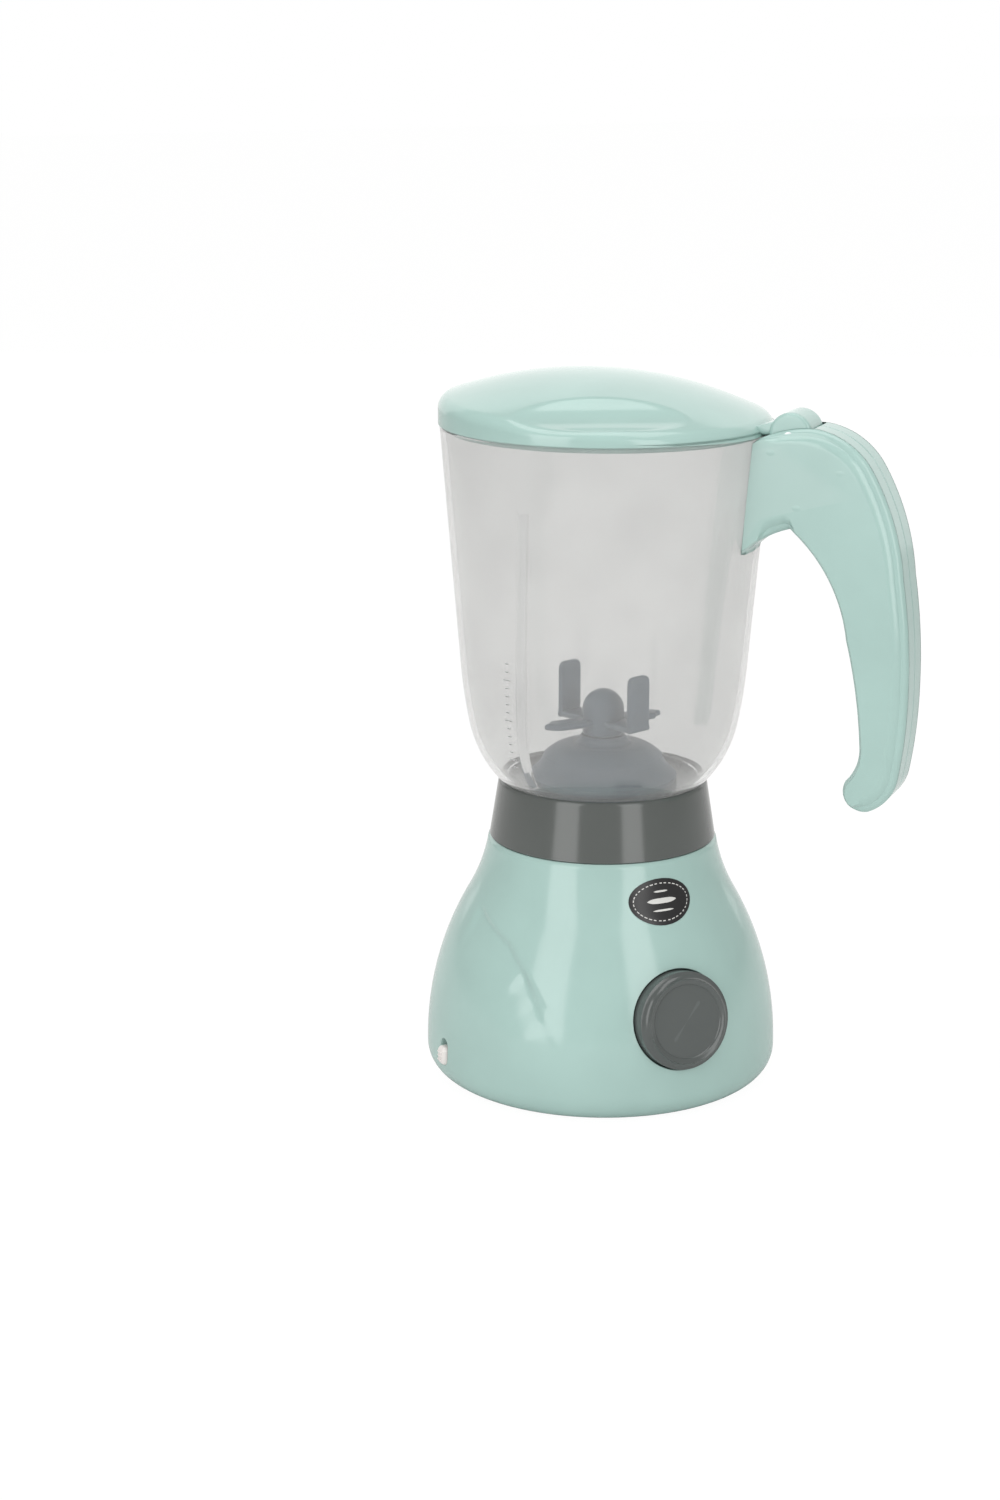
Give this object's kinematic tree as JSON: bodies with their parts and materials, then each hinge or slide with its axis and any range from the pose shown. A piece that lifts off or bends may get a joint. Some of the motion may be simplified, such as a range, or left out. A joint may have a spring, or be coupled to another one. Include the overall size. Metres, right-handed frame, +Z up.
{
  "type": "toy blender",
  "caption": "Toy blender with a battery base, push button and slide switch, turning blades, a clear lift-off jug with a handle and a hinged lid.",
  "frame": {"origin": "on the table under the drive axis, in the plane of the rim that the base stands on", "axes": "+Z up along the drive axis, -Y towards the push button, +X to the right of someone who faces the button"},
  "size_m": [0.1283, 0.1332, 0.2203],
  "materials": {
    "mint_plastic": "glossy moulded",
    "mint_inner_plastic": "fine matt moulded",
    "grey_plastic": "satin moulded",
    "clear_plastic": "slightly frosted clear",
    "blue_grey_plastic": "satin moulded",
    "white_plastic": "satin moulded",
    "black_plastic": "satin",
    "badge_film": "printed film",
    "steel": "zinc plated",
    "bronze": "sintered",
    "cell_wrap": "shrink wrap",
    "circuit_board": "paper laminate"
  },
  "bodies": {
    "base": {"base_housing": "mint_plastic", "base_plate": "mint_inner_plastic", "base_screws": "steel", "battery_cell_front": "cell_wrap", "battery_cell_rear": "cell_wrap", "battery_contacts": "steel", "battery_springs": "steel", "motor_can": "steel", "gearbox_lower_plate": "white_plastic", "gearbox_upper_plate": "white_plastic", "gearbox_screws": "steel", "lower_bush": "bronze", "upper_bush": "bronze", "idler_pin": "steel", "collar_ring": "grey_plastic", "collar_screws": "steel", "button_spring": "steel", "push_switch": "black_plastic", "switch_board": "circuit_board", "board_screws": "steel", "slide_switch": "black_plastic", "front_badge": "badge_film"},
    "button": {"button_cap": "grey_plastic"},
    "slider": {"power_slider": "white_plastic"},
    "battery_hatch": {"battery_door": "mint_inner_plastic", "battery_door_screws": "steel"},
    "drive": {"drive_gear": "white_plastic", "drive_shaft": "steel", "drive_coupling": "white_plastic"},
    "idler": {"idler_gear": "white_plastic"},
    "motor_rotor": {"motor_shaft": "steel", "motor_pinion": "white_plastic"},
    "jug": {"jug_vessel": "clear_plastic", "handle_front_shell": "mint_plastic", "handle_rear_shell": "mint_plastic", "handle_screws": "steel", "lid_hinge_pin": "steel", "blade_seat": "blue_grey_plastic", "ring_nut": "blue_grey_plastic", "spindle_bush": "bronze"},
    "blades": {"blade_rotor": "blue_grey_plastic", "blade_spindle": "steel", "jug_coupling": "blue_grey_plastic"},
    "lid": {"lid_shell": "mint_plastic"}
  },
  "joints": [
    {"name": "button_press", "type": "slide", "parent": "base", "child": "button", "axis": [0, 0.9848, -0.1736], "range_m": [0, 0.0028], "stiffness_N_per_m": 300, "springref_m": -0.003, "deforming": ["button_spring"]},
    {"name": "power_switch", "type": "slide", "parent": "base", "child": "slider", "axis": [0, 0, 1], "range_m": [0, 0.0022]},
    {"name": "battery_door_off", "type": "slide", "parent": "base", "child": "battery_hatch", "axis": [0, 0, -1], "range_m": [0, 0.01]},
    {"name": "drive_turn", "type": "hinge", "parent": "base", "child": "drive", "pos_m": [0, 0, 0.06], "axis": [0, 0, 1], "continuous": true},
    {"name": "idler_turn", "type": "hinge", "parent": "base", "child": "idler", "pos_m": [0, 0.0144, 0.056], "axis": [0, 0, 1], "continuous": true},
    {"name": "motor_turn", "type": "hinge", "parent": "base", "child": "motor_rotor", "pos_m": [0, 0.0258, 0.05], "axis": [0, 0, 1], "continuous": true},
    {"name": "jug_lift", "type": "slide", "parent": "base", "child": "jug", "axis": [0, 0, 1], "range_m": [0, 0.05]},
    {"name": "blade_turn", "type": "hinge", "parent": "jug", "child": "blades", "pos_m": [0, 0, 0.1], "axis": [0, 0, 1], "continuous": true},
    {"name": "lid_hinge", "type": "hinge", "parent": "jug", "child": "lid", "pos_m": [0.03981, -0.04422, 0.205], "axis": [0.7431, 0.6691, 0], "range_deg": [0, 100]}
  ],
  "couplings": [
    {"joint": "idler_turn", "follows": "drive_turn", "ratio": -3},
    {"joint": "motor_turn", "follows": "drive_turn", "ratio": 11.25},
    {"joint": "blade_turn", "follows": "drive_turn", "ratio": 1}
  ]
}
